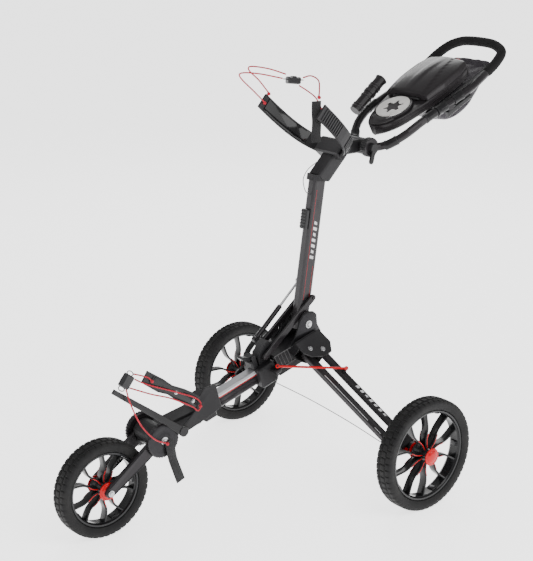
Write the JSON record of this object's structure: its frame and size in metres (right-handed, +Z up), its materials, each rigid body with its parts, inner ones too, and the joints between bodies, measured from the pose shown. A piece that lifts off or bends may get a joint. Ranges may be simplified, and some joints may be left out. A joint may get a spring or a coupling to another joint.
{
  "type": "golf bag push cart",
  "caption": "Folding three-wheel golf bag push cart with upright mast, tilting handle and console, bag cradles and spoked wheels.",
  "frame": {"origin": "ground under the middle of the cart, at the centre of its bounding box seen from above", "axes": "+X to the cart's right, +Y to the front wheel, +Z up"},
  "size_m": [0.8246, 1.3974, 1.11],
  "materials": {
    "frame": "satin charcoal paint",
    "plastic": "satin black nylon",
    "pad": "satin",
    "silver": "brushed",
    "red": "gloss",
    "tyre": "matt, block tread",
    "rim": "semi-gloss",
    "foam": "matt foam",
    "console": "satin",
    "gasket": "matt",
    "fabric": "woven",
    "webbing": "woven webbing",
    "cord": "braided elastic",
    "cable": "plain"
  },
  "bodies": {
    "chassis": {"lower_tube": "frame", "hub_housing": "plastic", "leg_bracket_left": "plastic", "leg_bracket_right": "plastic", "upright_bolt": "silver", "fork_yoke": "plastic", "lower_bracket": "plastic", "side_arm": "pad", "base_rest": "pad", "lower_strap": "webbing", "lower_clip": "pad", "lower_cord_tip": "cord", "lower_cord_loop": "cord", "lower_cord_drop": "cord", "brake_cable": "cable"},
    "fork": {"fork_arm_left": "frame", "fork_arm_right": "frame", "fork_bolt": "silver", "front_axle": "silver"},
    "front_wheel": {"front_tyre": "tyre", "front_rim": "rim"},
    "collar": {"slider_collar": "plastic"},
    "latch": {"fold_latch": "pad"},
    "strut_barrel": {"strut_cylinder": "frame"},
    "strut_piston": {"strut_rod": "silver"},
    "rod_left": {"link_rod_left": "red"},
    "rod_right": {"link_rod_right": "red"},
    "rear_bar_left": {"rear_bar_left": "frame"},
    "rear_bar_right": {"rear_bar_right": "frame"},
    "front_bar_left": {"front_bar_left": "frame"},
    "front_bar_right": {"front_bar_right": "frame"},
    "carrier_left": {"wheel_carrier_left": "plastic"},
    "carrier_right": {"wheel_carrier_right": "plastic"},
    "release_left": {"wheel_release_left": "red"},
    "release_right": {"wheel_release_right": "red"},
    "wheel_left": {"left_wheel_tyre": "tyre", "left_wheel_rim": "rim"},
    "wheel_right": {"right_wheel_tyre": "tyre", "right_wheel_rim": "rim"},
    "upright": {"upright_tube": "frame", "neck_tube": "plastic", "upper_bracket": "plastic", "fold_bumper": "pad", "upper_strap": "webbing", "upper_clip": "pad", "upper_cord_bead": "cord", "upper_cord_loop": "cord", "upper_cord_near": "cord", "upper_cord_low": "cord", "neck_cable": "cable"},
    "links": {"link_arms": "frame"},
    "handle": {"handle_frame": "frame", "handle_grip": "foam", "console_base": "console", "cup_gasket": "gasket", "storage_pouch": "fabric", "umbrella_holder": "console"},
    "lid": {"console_lid": "console"},
    "lock": {"lock_lever": "pad"},
    "brake": {"brake_lever": "pad"}
  },
  "joints": [
    {"name": "upright_fold", "type": "hinge", "parent": "chassis", "child": "upright", "pos_m": [0, -0.0436, 0.416], "axis": [-1, 0, 0], "range_deg": [0, 88]},
    {"name": "collar_slide", "type": "slide", "parent": "chassis", "child": "collar", "axis": [0, 0.9615, -0.275], "range_m": [0, 0.0995]},
    {"name": "link_arm_pivot", "type": "hinge", "parent": "upright", "child": "links", "pos_m": [0, -0.0696, 0.48], "axis": [-1, 0, 0], "range_deg": [-91.1, 0]},
    {"name": "strut_pivot", "type": "hinge", "parent": "collar", "child": "strut_barrel", "pos_m": [0.036, 0.0759, 0.381], "axis": [-1, 0, 0], "range_deg": [-4.31, 0]},
    {"name": "strut_stroke", "type": "slide", "parent": "strut_barrel", "child": "strut_piston", "axis": [0, -0.7422, 0.6702], "range_m": [-0.0465, 0]},
    {"name": "leg_fold_left", "type": "hinge", "parent": "chassis", "child": "rear_bar_left", "pos_m": [-0.08, -0.0496, 0.3515], "axis": [0.6195, 0, -0.785], "range_deg": [0, 69.07]},
    {"name": "front_bar_fold_left", "type": "hinge", "parent": "chassis", "child": "front_bar_left", "pos_m": [-0.0613, -0.0136, 0.3444], "axis": [0.6195, 0, -0.785], "range_deg": [0, 69.07]},
    {"name": "carrier_turn_left", "type": "hinge", "parent": "rear_bar_left", "child": "carrier_left", "pos_m": [-0.31, -0.1266, 0.17], "axis": [0.6195, 0, -0.785], "range_deg": [-69.07, 0]},
    {"name": "link_rod_left", "type": "hinge", "parent": "collar", "child": "rod_left", "pos_m": [-0.052, 0.0734, 0.331], "axis": [-0.7224, 0.4931, 0.4847], "range_deg": [0, 17.37]},
    {"name": "wheel_release_left", "type": "slide", "parent": "carrier_left", "child": "release_left", "axis": [0, -1, 0], "range_m": [0, 0.003], "stiffness_N_per_m": 400},
    {"name": "wheel_spin_left", "type": "hinge", "parent": "carrier_left", "child": "wheel_left", "pos_m": [-0.3805, -0.1316, 0.146], "axis": [1, 0, 0], "continuous": true},
    {"name": "leg_fold_right", "type": "hinge", "parent": "chassis", "child": "rear_bar_right", "pos_m": [0.08, -0.0496, 0.3515], "axis": [0.6195, 0, 0.785], "range_deg": [0, 69.07]},
    {"name": "front_bar_fold_right", "type": "hinge", "parent": "chassis", "child": "front_bar_right", "pos_m": [0.0613, -0.0136, 0.3444], "axis": [0.6195, 0, 0.785], "range_deg": [0, 69.07]},
    {"name": "carrier_turn_right", "type": "hinge", "parent": "rear_bar_right", "child": "carrier_right", "pos_m": [0.31, -0.1266, 0.17], "axis": [0.6195, 0, 0.785], "range_deg": [-69.07, 0]},
    {"name": "link_rod_right", "type": "hinge", "parent": "collar", "child": "rod_right", "pos_m": [0.052, 0.0734, 0.331], "axis": [-0.7224, -0.4931, -0.4847], "range_deg": [0, 17.37]},
    {"name": "wheel_release_right", "type": "slide", "parent": "carrier_right", "child": "release_right", "axis": [0, -1, 0], "range_m": [0, 0.003], "stiffness_N_per_m": 400},
    {"name": "wheel_spin_right", "type": "hinge", "parent": "carrier_right", "child": "wheel_right", "pos_m": [0.3805, -0.1316, 0.146], "axis": [1, 0, 0], "continuous": true},
    {"name": "fork_fold", "type": "hinge", "parent": "chassis", "child": "fork", "pos_m": [0, 0.4284, 0.222], "axis": [-1, 0, 0], "range_deg": [0, 85]},
    {"name": "front_wheel_spin", "type": "hinge", "parent": "fork", "child": "front_wheel", "pos_m": [0, 0.5764, 0.1225], "axis": [1, 0, 0], "continuous": true},
    {"name": "handle_tilt", "type": "hinge", "parent": "upright", "child": "handle", "pos_m": [0, -0.2416, 0.86], "axis": [-1, 0, 0], "range_deg": [-55, 55]},
    {"name": "lid_open", "type": "hinge", "parent": "handle", "child": "lid", "pos_m": [0, -0.41089, 0.97071], "axis": [-1, 0, 0], "range_deg": [0, 38]},
    {"name": "lock_lever", "type": "hinge", "parent": "handle", "child": "lock", "pos_m": [-0.0563, -0.2416, 0.86], "axis": [-1, 0, 0], "range_deg": [0, 70]},
    {"name": "brake_lever", "type": "hinge", "parent": "handle", "child": "brake", "pos_m": [-0.1125, -0.4616, 0.936], "axis": [1, 0, 0], "range_deg": [0, 17]},
    {"name": "latch_lift", "type": "hinge", "parent": "collar", "child": "latch", "pos_m": [0, 0.12151, 0.35326], "axis": [1, 0, 0], "range_deg": [0, 25]}
  ],
  "couplings": [
    {"joint": "collar_slide", "follows": "upright_fold", "m_per_rad": 0.064703},
    {"joint": "link_arm_pivot", "follows": "upright_fold", "ratio": -1.0341},
    {"joint": "strut_pivot", "follows": "upright_fold", "ratio": -0.047824},
    {"joint": "strut_stroke", "follows": "upright_fold", "m_per_rad": -0.030237},
    {"joint": "leg_fold_left", "follows": "upright_fold", "ratio": 0.78374},
    {"joint": "front_bar_fold_left", "follows": "upright_fold", "ratio": 0.78374},
    {"joint": "carrier_turn_left", "follows": "upright_fold", "ratio": -0.78374},
    {"joint": "link_rod_left", "follows": "upright_fold", "ratio": 0.19626},
    {"joint": "leg_fold_right", "follows": "upright_fold", "ratio": 0.78374},
    {"joint": "front_bar_fold_right", "follows": "upright_fold", "ratio": 0.78374},
    {"joint": "carrier_turn_right", "follows": "upright_fold", "ratio": -0.78374},
    {"joint": "link_rod_right", "follows": "upright_fold", "ratio": 0.19626}
  ]
}
